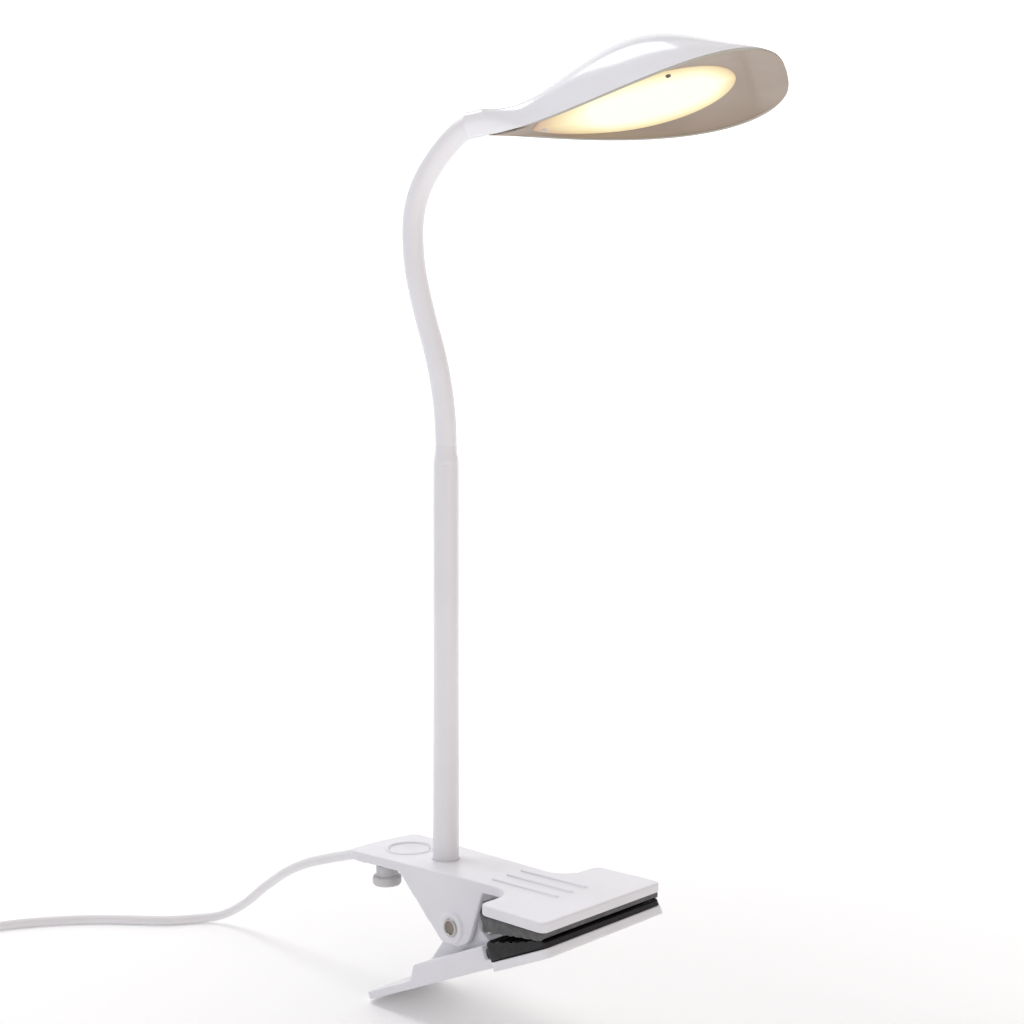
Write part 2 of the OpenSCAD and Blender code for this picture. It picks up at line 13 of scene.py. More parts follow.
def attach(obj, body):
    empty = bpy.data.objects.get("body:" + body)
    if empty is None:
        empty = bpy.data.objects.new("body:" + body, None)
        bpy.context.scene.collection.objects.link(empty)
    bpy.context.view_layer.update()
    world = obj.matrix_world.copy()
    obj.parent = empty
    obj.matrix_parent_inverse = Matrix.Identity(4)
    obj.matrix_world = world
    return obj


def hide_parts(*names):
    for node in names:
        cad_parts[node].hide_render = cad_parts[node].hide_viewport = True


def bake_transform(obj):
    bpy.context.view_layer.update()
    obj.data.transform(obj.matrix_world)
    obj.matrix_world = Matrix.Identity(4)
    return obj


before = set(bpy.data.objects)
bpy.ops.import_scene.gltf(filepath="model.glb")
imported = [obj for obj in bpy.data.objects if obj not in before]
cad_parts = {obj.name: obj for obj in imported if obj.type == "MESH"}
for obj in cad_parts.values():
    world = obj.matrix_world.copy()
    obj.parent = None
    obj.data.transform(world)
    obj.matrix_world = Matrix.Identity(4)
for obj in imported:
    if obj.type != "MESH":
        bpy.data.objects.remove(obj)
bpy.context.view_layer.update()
scene = bpy.context.scene
MM = 0.001


def place_object(name, data):
    obj = bpy.data.objects.new(name, data)
    scene.collection.objects.link(obj)
    return obj


# ---------------------------------------------------------------- camera

CAMERA_TURN = math.radians(43.46)
camera = place_object("camera", bpy.data.cameras.new("camera"))
camera.location = Vector((240.7, -285.8, 120.7)) * MM
camera.rotation_euler = (math.radians(90), 0, CAMERA_TURN)
camera.data.lens = 38.27
camera.data.sensor_width = 36
camera.data.shift_y = 0.0513
camera.data.clip_start = 0.01
scene.camera = camera

# ---------------------------------------------------------------- materials


def tree(name):
    """New material, its node tree and its shader."""
    m = bpy.data.materials.new(name)
    m.use_nodes = True
    return m, m.node_tree, m.node_tree.nodes["Principled BSDF"]


def add(t, kind, **values):
    """New node, with values for its inputs or its settings."""
    n = t.nodes.new(kind)
    for key, value in values.items():
        if key in n.inputs:
            n.inputs[key].default_value = value
        else:
            setattr(n, key, value)
    return n


def ramp(t, fac, stops):
    """Colour along fac, from (position, colour) stops."""
    n = t.nodes.new("ShaderNodeValToRGB")
    els = n.color_ramp.elements
    while len(els) < len(stops):
        els.new(0.5)
    for e, (pos, colour) in zip(els, stops):
        e.position = pos
        e.color = (*colour, 1)
    t.links.new(fac, n.inputs["Fac"])
    return n.outputs["Color"]


def noise(t, scale, detail=3.0, stretch=None):
    """Noise in the object's own coordinates, stretched along its axes if asked."""
    coord = t.nodes.new("ShaderNodeTexCoord")
    n = add(t, "ShaderNodeTexNoise", Scale=scale, Detail=detail)
    if stretch:
        mapping = add(t, "ShaderNodeMapping")
        mapping.inputs["Scale"].default_value = stretch
        t.links.new(coord.outputs["Object"], mapping.inputs["Vector"])
        t.links.new(mapping.outputs["Vector"], n.inputs["Vector"])
    else:
        t.links.new(coord.outputs["Object"], n.inputs["Vector"])
    return n.outputs["Fac"]


def map_range(t, value, start, end, low, high):
    """A value's run from start to end made to run from low to high."""
    n = add(t, "ShaderNodeMapRange")
    n.inputs["From Min"].default_value = start
    n.inputs["From Max"].default_value = end
    n.inputs["To Min"].default_value = low
    n.inputs["To Max"].default_value = high
    t.links.new(value, n.inputs["Value"])
    return n.outputs["Result"]


def spread(t, fac, low, high):
    """The usual run of a noise, made to run from low to high."""
    return map_range(t, fac, 0.3, 0.7, low, high)


def bump(t, bsdf, height, strength, distance):
    """Fine relief in the shading; distance is in metres."""
    n = add(t, "ShaderNodeBump", Strength=strength, Distance=distance)
    t.links.new(height, n.inputs["Height"])
    t.links.new(n.outputs["Normal"], bsdf.inputs["Normal"])


def shade(colour, k):
    """The colour, k times as bright."""
    return tuple(max(0.0, min(1.0, c * k)) for c in colour)


def moulded(name, colour, rough, grain=2600, relief=0.00001, strength=0.12, coat=0.0, vary=0.02, sss=0.0):
    """Moulded plastic: faint colour drift, a fine eroded skin and uneven gloss."""
    m, t, bsdf = tree(name)
    t.links.new(
        ramp(t, noise(t, 38, 4), [(0.3, shade(colour, 1 - vary)), (0.7, shade(colour, 1 + vary))]),
        bsdf.inputs["Base Color"],
    )
    t.links.new(spread(t, noise(t, 210, 3), rough - 0.04, rough + 0.05), bsdf.inputs["Roughness"])
    bump(t, bsdf, noise(t, grain, 2), strength, relief)
    bsdf.inputs["Coat Weight"].default_value = coat
    bsdf.inputs["Coat Roughness"].default_value = 0.12
    bsdf.inputs["IOR"].default_value = 1.48
    if sss:
        bsdf.inputs["Subsurface Weight"].default_value = sss
        bsdf.inputs["Subsurface Scale"].default_value = 0.002
    return m


def rubber(name, colour, rough=0.62):
    """Dull rubber with a coarse, mottled skin."""
    m, t, bsdf = tree(name)
    t.links.new(
        ramp(t, noise(t, 420, 5), [(0.32, shade(colour, 0.78)), (0.68, shade(colour, 1.3))]),
        bsdf.inputs["Base Color"],
    )
    t.links.new(spread(t, noise(t, 700, 3), rough - 0.08, rough + 0.1), bsdf.inputs["Roughness"])
    bump(t, bsdf, noise(t, 3600, 3), 0.3, 0.00003)
    bsdf.inputs["Specular IOR Level"].default_value = 0.35
    return m


def metal(name, colour, rough, stretch=(60, 60, 900)):
    """Metal with streaks; stretch sets their length and direction."""
    m, t, bsdf = tree(name)
    streaks = noise(t, 30, 4, stretch)
    tint = ramp(t, streaks, [(0.3, shade(colour, 0.85)), (0.7, shade(colour, 1.1))])
    t.links.new(tint, bsdf.inputs["Base Color"])
    t.links.new(spread(t, streaks, rough - 0.06, rough + 0.1), bsdf.inputs["Roughness"])
    bump(t, bsdf, streaks, 0.12, 0.00002)
    bsdf.inputs["Metallic"].default_value = 1
    return m


M = {
    "shell": moulded("shell_gloss", (0.83, 0.83, 0.865), 0.2, grain=900, relief=6e-6, coat=0.35, sss=0.04),
    "clamp": moulded("clamp_satin", (0.78, 0.775, 0.815), 0.36, grain=3200, strength=0.2, coat=0.06),
    "lever": moulded("lever_satin", (0.79, 0.785, 0.825), 0.36, grain=3200, strength=0.2, coat=0.06),
    "button": moulded("button_satin", (0.77, 0.765, 0.8), 0.4, grain=3400, strength=0.2),
    "tube": moulded("tube_enamel", (0.80, 0.795, 0.825), 0.22, grain=700, relief=0.000008, coat=0.3),
    "neck": moulded("neck_skin", (0.81, 0.805, 0.84), 0.33, grain=2200, strength=0.15, coat=0.1, sss=0.05),
    "cord": moulded("cord_skin", (0.79, 0.785, 0.81), 0.42, grain=1800, relief=2e-5, strength=0.15, sss=0.05),
    "bumper": moulded("bumper_satin", (0.6, 0.595, 0.6), 0.45, grain=2800, strength=0.2),
    # The rim's lip: a dark grey copy of the white shell plastic, as painted shade.
    "edge": moulded("rim_painted_shade", (0.36, 0.345, 0.30), 0.4, grain=2400),
    "cover": moulded("cover_satin", (0.72, 0.715, 0.745), 0.45, grain=3000),
    "pad_top": rubber("pad_grey", (0.105, 0.105, 0.107)),
    # The lower pad: a far darker copy of the pad rubber, as painted shade in the gap under the upper jaw.
    "pad_low": rubber("pad_black_painted_shade", (0.012, 0.012, 0.013), 0.5),
    "steel": metal("nickel_steel", (0.5, 0.485, 0.47), 0.3),
    "spring": metal("spring_steel", (0.5, 0.49, 0.48), 0.26, (300, 300, 300)),
    "dark": metal("dark_steel", (0.16, 0.14, 0.12), 0.4),
    # Dark discs in the rivet's ends, as painted shade down its hollow.
    "brass": metal("rivet_shade_disc", (0.27, 0.235, 0.21), 0.42),
    "alu": metal("spreader_aluminium", (0.72, 0.72, 0.73), 0.4),
    "tie": moulded("tie_black", (0.02, 0.02, 0.02), 0.5, vary=0.15),
    "black": moulded("tongue_black", (0.02, 0.02, 0.022), 0.4, vary=0.1),
    "board": moulded("board_green", (0.03, 0.13, 0.06), 0.35, vary=0.12),
    "board_white": moulded("board_ivory", (0.75, 0.73, 0.66), 0.4),
    "phosphor": moulded("phosphor", (0.8, 0.6, 0.12), 0.5, vary=0.08),
    "wire": moulded("wire_skin", (0.75, 0.75, 0.75), 0.4),
}


def liner_material():
    """Inner skin of the shade, slightly mottled; its dark, warm colour is painted shade with painted warm
    light from the panel.
    """
    m, t, bsdf = tree("liner_painted_shade")
    # Dark warm beige: painted shade inside the shade, warmed as painted light from the panel.
    t.links.new(
        ramp(t, noise(t, 30, 4), [(0.3, (0.31, 0.245, 0.195)), (0.7, (0.355, 0.285, 0.23))]),
        bsdf.inputs["Base Color"],
    )
    t.links.new(spread(t, noise(t, 240, 3), 0.36, 0.46), bsdf.inputs["Roughness"])
    bump(t, bsdf, noise(t, 1500, 2), 0.12, 0.00001)
    return m


M["liner"] = liner_material()

# ---------------------------------------------------------------- mesh helpers


def dress(obj, material, body, slot, *nodes, smooth=35):
    """Common finish: material, smooth shading crisp past an angle, replaced nodes and body; slot is not used.

    A list of materials keeps the faces' own numbers into it.
    """
    materials = material if isinstance(material, (list, tuple)) else [material]
    if isinstance(material, str):
        obj.data.materials.clear()
    for k in materials:
        obj.data.materials.append(M[k])
    mesh = obj.data
    mesh.polygons.foreach_set("use_smooth", [True] * len(mesh.polygons))
    if smooth:
        mesh.set_sharp_from_angle(angle=math.radians(smooth))
    if nodes:
        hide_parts(*nodes)
    if body:
        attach(obj, body)
    return obj


def new_mesh(name, verts, faces, weld=1e-7, slots=None):
    """Object from points in metres; points within weld are joined, and slots number the faces' materials."""
    mesh = bpy.data.meshes.new(name)
    mesh.from_pydata([tuple(v) for v in verts], [], faces)
    if slots:
        mesh.polygons.foreach_set("material_index", slots)
    bm = bmesh.new()
    bm.from_mesh(mesh)
    if weld:
        bmesh.ops.remove_doubles(bm, verts=bm.verts, dist=weld)
    bmesh.ops.recalc_face_normals(bm, faces=bm.faces)
    bm.to_mesh(mesh)
    bm.free()
    return place_object(name, mesh)


def grid_faces(rows, cols, close_cols=False):
    """Quads between rows of points; close_cols joins each row's end to its start."""
    out = []
    for i in range(rows - 1):
        for j in range(cols if close_cols else cols - 1):
            k = (j + 1) % cols
            out.append((i * cols + j, i * cols + k, (i + 1) * cols + k, (i + 1) * cols + j))
    return out


def end_caps(rows, cols):
    """Faces that close the first and the last row of a grid of closed rows."""
    return [tuple(range(cols))[::-1], tuple(range((rows - 1) * cols, rows * cols))]


def with_modifiers(obj):
    """The object with its modifiers made real."""
    mesh = bpy.data.meshes.new_from_object(obj.evaluated_get(bpy.context.evaluated_depsgraph_get()))
    obj.modifiers.clear()
    old = obj.data
    obj.data = mesh
    bpy.data.meshes.remove(old)
    mesh.name = obj.name
    return obj


def round_profile(points, radii, steps=5):
    """Corners of an open profile rounded; radii is one number or one for each inner corner."""
    out = [points[0]]
    straight = math.radians(88)
    for i in range(1, len(points) - 1):
        r = radii if isinstance(radii, (int, float)) else radii[i - 1]
        a, b, c = (Vector(points[k]) for k in (i - 1, i, i + 1))
        u, v = (a - b), (c - b)
        lu, lv = u.length, v.length
        u.normalize(), v.normalize()
        half = u.angle(v) / 2
        if r <= 0 or half > straight:
            out.append(tuple(b))
            continue
        d = min(r / math.tan(half), lu * 0.48, lv * 0.48)
        p, q = b + u * d, b + v * d
        for k in range(steps + 1):
            t = k / steps
            out.append(tuple(p * (1 - t) ** 2 + b * 2 * t * (1 - t) + q * t * t))
    out.append(points[-1])
    return out


def lathe(name, profile, place, sides=64):
    """Revolve (r, z) points, in mm, round the Z axis of place."""
    verts = []
    for r, z in profile:
        for j in range(sides):
            a = 2 * math.pi * j / sides
            verts.append(place @ Vector((r * math.cos(a), r * math.sin(a), z)) * MM)
    return new_mesh(name, verts, grid_faces(len(profile), sides, close_cols=True), weld=1e-8)


def frames(path):
    """(tangent, side, up) at each point of a path, carried along without twist."""
    tangents = []
    for i in range(len(path)):
        tangents.append((path[min(i + 1, len(path) - 1)] - path[max(i - 1, 0)]).normalized())
    t0 = tangents[0]
    side = t0.cross(Vector((0, 0, 1)) if abs(t0.z) < 0.9 else Vector((0, 1, 0))).normalized()
    out = []
    for i, t in enumerate(tangents):
        if i:
            axis = tangents[i - 1].cross(t)
            if axis.length > 1e-9:
                side = Matrix.Rotation(tangents[i - 1].angle(t), 3, axis) @ side
        side = (side - t * side.dot(t)).normalized()
        out.append((t, side, t.cross(side).normalized()))
    return out


def sweep(name, path, radius, sides=20, caps=True):
    """Round bar of a radius (or one for each point) along a path, in metres."""
    verts = []
    for i, (p, (_, u, v)) in enumerate(zip(path, frames(path))):
        r = radius[i] if isinstance(radius, (list, tuple)) else radius
        for j in range(sides):
            a = 2 * math.pi * j / sides
            verts.append(p + (u * math.cos(a) + v * math.sin(a)) * r)
    faces = grid_faces(len(path), sides, close_cols=True)
    if caps:
        faces += end_caps(len(path), sides)
    return new_mesh(name, verts, faces)


def resample(points, step):
    """Smooth curve through the points, at about even steps; both in metres."""
    fine_steps = 24
    pts = [Vector(p) for p in points]
    ext = [pts[0] * 2 - pts[1]] + pts + [pts[-1] * 2 - pts[-2]]
    fine = []
    for i in range(1, len(ext) - 2):
        p0, p1, p2, p3 = ext[i - 1: i + 3]
        for k in range(fine_steps):
            t = k / fine_steps
            fine.append(0.5 * ((2 * p1) + (p2 - p0) * t + (2 * p0 - 5 * p1 + 4 * p2 - p3) * t * t
                               + (3 * p1 - p0 - 3 * p2 + p3) * t ** 3))
    fine.append(pts[-1])
    return even(fine, step)


def even(fine, step):
    """Points at even steps along a finely divided path."""
    total = sum((b - a).length for a, b in zip(fine, fine[1:]))
    n = max(2, round(total / step))
    out, walked, k = [fine[0]], 0.0, 0
    for i in range(1, n):
        target = total * i / n
        while walked + (fine[k + 1] - fine[k]).length < target:
            walked += (fine[k + 1] - fine[k]).length
            k += 1
        seg = (fine[k + 1] - fine[k])
        out.append(fine[k] + seg * ((target - walked) / seg.length))
    out.append(fine[-1])
    return out


def softened(name, node, voxel, passes):
    """The CAD node's shape with its sharp corners eased, as a moulding's are; voxel in mm."""
    obj = place_object(name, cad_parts[node].data.copy())
    remesh = obj.modifiers.new("remesh", "REMESH")
    remesh.mode = "VOXEL"
    remesh.voxel_size = voxel * MM
    ease = obj.modifiers.new("ease", "SMOOTH")
    ease.factor = 0.5
    ease.iterations = passes
    return with_modifiers(obj)


# ---------------------------------------------------------------- sizes shared with the CAD, mm

POLE_X = -65.0
POLE_R = 5.0
BUTTON_X = POLE_X - 21.2
PLATE_TOP = 7.98
FLOOR = -49.4
PIVOT = Vector((-46, 0, -10.5))
LEVER = Matrix.Translation(PIVOT) @ Matrix.Rotation(math.radians(-23.5), 4, "Y")
# The neck: six links, each with its bend in degrees, in an upright plane turned about the tube
BENDS = [9, 8, -5, -14, -33, -22]
LINKS = len(BENDS)
LINK = 21.9
NECK_FOOT = 166.0
NECK_TURN = Matrix.Rotation(math.radians(23), 4, "Z")
NECK_PLANE = Matrix.Translation((POLE_X, 0, 0)) @ NECK_TURN


def neck_path(step=1.0):
    """Neck's centre line in its own plane, as (r, z, lean in degrees, distance)."""
    r, z, lean, s, out = 0.0, NECK_FOOT, 0.0, 0.0, []
    n = round(LINK / step)
    for bend in BENDS:
        for i in range(n):
            out.append((r, z, lean, s))
            d = math.radians(lean + bend / n / 2)
            r, z = r - LINK / n * math.sin(d), z + LINK / n * math.cos(d)
            lean += bend / n
            s += LINK / n
    out.append((r, z, lean, s))
    return out


NECK = neck_path()
HEAD_AT = NECK_PLANE @ Vector((NECK[-1][0], 0, NECK[-1][1]))
HEAD = Matrix.Translation(HEAD_AT) @ NECK_TURN @ Matrix.Rotation(math.radians(-3.2), 4, "Y")


def neck_point(s):
    """World point, mm, at a distance along the neck, which runs on straight past both its ends."""
    if s <= 0:
        return NECK_PLANE @ Vector((0, 0, NECK_FOOT + s))
    last = NECK[-1]
    if s >= last[3]:
        d = math.radians(last[2])
        k = s - last[3]
        return NECK_PLANE @ Vector((last[0] - k * math.sin(d), 0, last[1] + k * math.cos(d)))
    i = min(int(s / (last[3] / (len(NECK) - 1))), len(NECK) - 2)
    a, b = NECK[i], NECK[i + 1]
    t = (s - a[3]) / (b[3] - a[3])
    return NECK_PLANE @ Vector((a[0] + (b[0] - a[0]) * t, 0, a[1] + (b[1] - a[1]) * t))


# ---------------------------------------------------------------- cord

LEAD = [
    (-104.5, -11, 4.4), (-108, -11, 3.8), (-113, -11, 2.4), (-120, -11, 0.4), (-128, -11, -2),
    (-136, -10.8, -4.5), (-144, -10.5, -7.5), (-152, -10, -11), (-160, -9.5, -15),
    (-168, -8.5, -19.5), (-176, -7.5, -24), (-184, -6.5, -29), (-192, -5.5, -34),
    (-200, -5, -38.5), (-208, -5.5, -42.8), (-215, -7, -45.8), (-221, -10.5, -47.2),
    (-225, -16, -47.4), (-229, -22, -47.4), (-235, -28, -47.4), (-243, -34.5, -47.4),
    (-252, -42, -47.4), (-261, -51, -47.4), (-269, -61, -47.4), (-276, -72, -47.4),
    (-281.5, -84, -47.4), (-285.5, -96, -47.4), (-288.5, -109, -47.4), (-290.5, -123.4, -47.4)]
CORD_D = 4
COIL = Vector((-318, -116, 0))
COIL_OUT, COIL_TURNS, COIL_START = 28.5, 3, -15.0
TAIL = [
    (-318, -144.5, -43.4), (-323, -144.6, -43.6), (-328, -145.2, -44.6),
    (-333, -146.2, -46), (-338, -147, -46.9)]


def coil_points():
    """Inwards on the surface for three turns, up, and outwards again on top."""
    out, per, climb_steps, climb, top_start = [], 18, 4, 75, -90
    low = FLOOR + CORD_D / 2
    inmost = COIL_OUT - CORD_D * COIL_TURNS
    for i in range(COIL_TURNS * per + 1):
        a = math.radians(COIL_START - 360 * i / per)
        out.append((COIL_OUT - CORD_D * i / per, a, low))
    for i in range(1, climb_steps + 1):
        k = i / climb_steps
        a = math.radians(COIL_START - 360 * COIL_TURNS - climb * k)
        out.append((inmost, a, low + CORD_D * (k * k * (3 - 2 * k))))
    for i in range(1, COIL_TURNS * per + 1):
        a = math.radians(top_start - 360 * i / per)
        out.append((inmost + CORD_D * i / per, a, low + CORD_D))
    return [(COIL.x + r * math.cos(a), COIL.y + r * math.sin(a), z) for r, a, z in out]


route = [Vector(p) * MM for p in LEAD[:-1] + coil_points() + TAIL[1:]]
line = resample(route, 0.0016)
cord = sweep("cord", line, CORD_D * MM / 2, sides=16)
dress(cord, "cord", "clamp", "cord_pvc", "cord_lead", "cord_coil", "cord_tail", smooth=60)

# ---------------------------------------------------------------- head


def shape(s, h, p, q):
    """Leaf outline of height h over s from 0 to 1, rising as s**p and falling as (1 - s)**q."""
    top = (p / (p + q)) ** p * (q / (p + q)) ** q
    return h * max(s, 0) ** p * max(1 - s, 0) ** q / top


# The shade along the head's own X: a tube up to MOUTH_X, then a leaf open downwards
MOUTH_X, MOUTH_L, TUBE_R = 8.0, 111.0, 4.9
RIM_DIP = 16.2
RIM_LEAF = (30.8, 1.31, 0.37)
CROWN_LEAF = (22.2, 2.25, 1.76)


def rim_z(s):
    """Height of the rim, which dips between its ends."""
    return -TUBE_R - RIM_DIP * s * (1 - s)


def head_section(s, inset, steps):
    """Points (v, w) of the shell's section at s, from the far rim over the crown to the near rim."""
    s = max(s, 0.0)
    rim, tube = shape(s, *RIM_LEAF), TUBE_R * (1 - s) ** 2
    m = max((rim ** 4 + tube ** 4) ** 0.25, 1e-4)
    below = math.acos(min(1.0, rim / m))
    mid = rim_z(s) + TUBE_R * math.sin(below)
    top = rim_z(s) + 2 * TUBE_R * (1 - s) ** 1.5 + shape(s, *CROWN_LEAF)
    rise = top - mid
    k = min(inset, 0.42 * m, 0.42 * max(rise, 1e-4))
    out = []
    for i in range(steps + 1):
        a = -below + (math.pi + 2 * below) * i / steps
        lift = rise - k if math.sin(a) >= 0 else TUBE_R - k
        out.append(((m - k) * math.cos(a), mid + lift * math.sin(a)))
    return out


def lip(a, b, xa, xb):
    """Three points of the rim's rounded edge, between the points a and b of two skins."""
    return [(xa + (xb - xa) * k, a[0] + (b[0] - a[0]) * k, a[1] + (b[1] - a[1]) * k - drop)
            for k, drop in ((0.12, 0.09), (0.5, 0.14), (0.88, 0.09))]


def head_shell():
    """Outer skin, rim and inner skin of the shade, with the tube that the neck enters."""
    rings, over, n, wall = [], 72, 110, 1.1
    tube_xs = [0.8, 1.0, 1.6, 3, 4.5, 6, 7.2]
    stations = [(x, 0.0, max(0.45, wall - 0.02 * (MOUTH_X - x) ** 1.6)) for x in tube_xs]
    for i in range(n + 1):
        s = (1 - math.cos(math.pi * i / n)) / 2
        stations.append((MOUTH_X + MOUTH_L * s, s, wall + 0.5 * min(1.0, 4 * s)))
    for x, s, t in stations:
        outer = head_section(s, 0, over)
        inner = head_section(s, t, over)[::-1]
        x_in = x - (t * max(0, (s - 0.75) / 0.25) ** 2)
        o1, i1, i0, o0 = outer[-1], inner[0], inner[-1], outer[0]
        ring = [(x, v, w) for v, w in outer]
        ring += lip(o1, i1, x, x_in) if s > 0 else [(x, o1[0], o1[1] + 0.02)] * 3
        ring += [(x_in, v, w) for v, w in inner]
        ring += lip(i0, o0, x_in, x) if s > 0 else [(x, o0[0], o0[1] + 0.02)] * 3
        rings.append([HEAD @ Vector(p) * MM for p in ring])
    cols = len(rings[0])
    faces = grid_faces(len(rings), cols, close_cols=True)
    # The tube's open end: a band joins the outer and inner skins
    for j in range(over):
        faces.append((j, j + 1, cols - 4 - (j + 1), cols - 4 - j))
    # Materials by number: outer skin and tube 0, rim 1, inner skin 2; the rim and the inner skin are darkened
    # as painted shade, the inner skin warmed as painted light
    slots = []
    for i in range(len(rings) - 1):
        for j in range(cols):
            inner = over + 4 <= j < 2 * over + 4
            slots.append(0 if j < over or i < len(tube_xs) else 2 if inner else 1)
    slots += [0] * (len(faces) - len(slots))
    return new_mesh("head_shell_skin", [p for r in rings for p in r], faces, weld=2e-6, slots=slots)


shell = head_shell()
# The rim and the inner skin take darker materials, as painted shade.
dress(shell, ["shell", "edge", "liner"], "head", "shell_plastic", "head_shell", "head_collar", smooth=50)

# The light panel along the same X: its start, length and half width, and how its plane rises
LIGHT_0, LIGHT_L, LIGHT_H = 26.6, 75.0, 20.0
LIGHT_Z, LIGHT_RISE, RISE_FROM, RISE_RUN = -6.9, 4.1, 36, 64


def light_plane(u):
    """Height of the panel's face at u."""
    return LIGHT_Z + LIGHT_RISE * (max(0.0, u - RISE_FROM) / RISE_RUN) ** 2


def light_half(u):
    """Half the panel's width at u."""
    return shape((u - LIGHT_0) / LIGHT_L, LIGHT_H, 0.75, 0.5) if LIGHT_0 < u < LIGHT_0 + LIGHT_L else 0.0


def head_liner():
    """Dish between the rim and the light panel; its two halves meet past the panel's ends."""
    rings, n, m, first, last = [], 100, 18, 0.012, 0.998
    for i in range(n + 1):
        s = first + (last - first) * (1 - math.cos(math.pi * i / n)) / 2
        rim = head_section(s, 1.4, 2)
        r = max(abs(rim[0][0]), 0.05)
        u = MOUTH_X + MOUTH_L * s
        crown = head_section(s, 2.0, 2)[1][1]
        deck = min(light_plane(u) + 0.9, crown)
        hub = min(max(light_half(u) - 0.6, 0.0), r - 0.3)
        low = rim_z(s) + 0.15
        deck = max(deck, low + 0.05)
        half = []
        for k in range(m + 1):
            a = math.pi / 2 * k / m
            half.append((hub + (r - hub) * math.cos(a), low + (deck - low) * math.sin(a)))
        ring = half + [(-v, w) for v, w in half[::-1]]
        rings.append([HEAD @ Vector((u, v, w)) * MM for v, w in ring])
    cols = len(rings[0])
    verts = [p for ring in rings for p in ring]
    obj = new_mesh("head_liner_skin", verts, grid_faces(len(rings), cols), weld=2e-6)
    # The dish is a thin moulding: give it its thickness upwards
    solid = obj.modifiers.new("solid", "SOLIDIFY")
    solid.thickness = 0.0005
    solid.offset = -1
    return with_modifiers(obj)


liner = head_liner()
dress(liner, "liner", "head", "liner_plastic", "head_liner", smooth=60)


def panel_material():
    """Frosted light panel: brightest along its middle, amber towards its edge and its rear tip."""
    m, t, bsdf = tree("panel_glow")
    edge = t.nodes.new("ShaderNodeAttribute")
    edge.attribute_name = "glow"
    drift = noise(t, 60, 2)
    mix = add(t, "ShaderNodeMath", operation="MULTIPLY_ADD")
    t.links.new(drift, mix.inputs[0])
    mix.inputs[1].default_value = 0.06
    t.links.new(edge.outputs["Fac"], mix.inputs[2])
    colour = ramp(t, mix.outputs[0], [
        (0.03, (0.42, 0.26, 0.17)), (0.15, (0.85, 0.53, 0.32)), (0.34, (1.0, 0.78, 0.40)),
        (0.6, (1.0, 0.90, 0.52)), (0.95, (1.0, 0.99, 0.88))])
    t.links.new(colour, bsdf.inputs["Emission Color"])
    strength = map_range(t, mix.outputs[0], 0.0, 0.7, 0.5, 0.86)
    t.links.new(strength, bsdf.inputs["Emission Strength"])
    t.links.new(ramp(t, noise(t, 90, 3), [(0.3, (0.14, 0.12, 0.09)), (0.7, (0.17, 0.15, 0.11))]),
                bsdf.inputs["Base Color"])
    t.links.new(spread(t, noise(t, 300, 3), 0.4, 0.55), bsdf.inputs["Roughness"])
    bump(t, bsdf, noise(t, 2500, 2), 0.15, 0.00001)
    return m


M["panel"] = panel_material()


def light_panel():
    """The panel with soft edges; its glow attribute falls off within so many mm of its edges and ends."""
    rings, glow, n, m = [], [], 90, 15
    edge_fade, rear_fade, front_fade, soft_edge, thickness = 11.0, 26.0, 9.0, 0.35, 1.5
    for i in range(n + 1):
        s = (1 - math.cos(math.pi * i / n)) / 2
        u = LIGHT_0 + LIGHT_L * s
        h = max(light_half(u), 0.02)
        w = light_plane(u)
        ring = []
        for k in range(2 * m + 1):
            x = math.sin(math.pi / 2 * (k - m) / m)
            soft = soft_edge * (1 - (1 - abs(x)) ** 0.5) ** 3 if abs(x) < 1 else soft_edge
            ring.append((h * x, w + soft))
            side = 0.32 + 0.68 * min(h * (1 - abs(x)) / edge_fade, 1.0) ** 0.7
            rear = 0.12 + 0.88 * min((u - LIGHT_0) / rear_fade, 1.0) ** 1.1
            front = 0.55 + 0.45 * min((LIGHT_0 + LIGHT_L - u) / front_fade, 1.0)
            glow.append(max(0.0, side * rear * front))
        back = [(h * math.cos(math.pi * k / 4), w + thickness) for k in range(5)]
        glow += [0.2] * len(back)
        rings.append([HEAD @ Vector((u, v, z)) * MM for v, z in ring + back])
    cols = len(rings[0])
    faces = grid_faces(len(rings), cols, close_cols=True) + end_caps(len(rings), cols)
    obj = new_mesh("light_panel", [p for ring in rings for p in ring], faces, weld=0)
    layer = obj.data.attributes.new("glow", "FLOAT", "POINT")
    layer.data.foreach_set("value", glow)
    return obj


dress(light_panel(), "panel", "head", "diffuser_plastic", "diffuser", smooth=50)


def small_screw(name, u, v, r):
    """Domed screw head of radius r, with a recess, square to the panel's face at (u, v)."""
    slope = 2 * LIGHT_RISE / RISE_RUN * max(0.0, u - RISE_FROM) / RISE_RUN
    place = (HEAD @ Matrix.Translation((u, v, light_plane(u) + 0.05))
             @ Matrix.Rotation(-math.atan(slope), 4, "Y") @ Matrix.Rotation(math.pi, 4, "X"))
    recess = [(0, 0.12), (r * 0.34, 0.12), (r * 0.42, 0.42)]
    dome = [(r * 0.86, 0.36), (r, 0.1), (r, -0.4), (0, -0.4)]
    return lathe(name, round_profile(recess + dome, 0.06), place, 32)


dress(small_screw("panel_screw_rear", 30.6, 1.6, 1.15), "steel", "head", "dark_screw", "head_screws")
dress(small_screw("panel_screw_side", 81.2, -16.0, 0.95), "dark", "head", "dark_screw")

# ---------------------------------------------------------------- neck, one skin across each joint


def into_head(start, s, steps=18):
    """Smooth run from the neck at distance s into the head's tube."""
    end = HEAD @ Vector((3.0, 0, 0)) * MM
    t0 = (neck_point(s + 0.5) - neck_point(s - 0.5)).normalized()
    t1 = (HEAD.to_3x3() @ Vector((1, 0, 0))).normalized()
    reach = (end - start).length
    out = []
    for i in range(1, steps + 1):
        t = i / steps
        out.append(start * (2 * t ** 3 - 3 * t * t + 1) + t0 * reach * (t ** 3 - 2 * t * t + t)
                   + end * (3 * t * t - 2 * t ** 3) + t1 * reach * (t ** 3 - t * t))
    return out


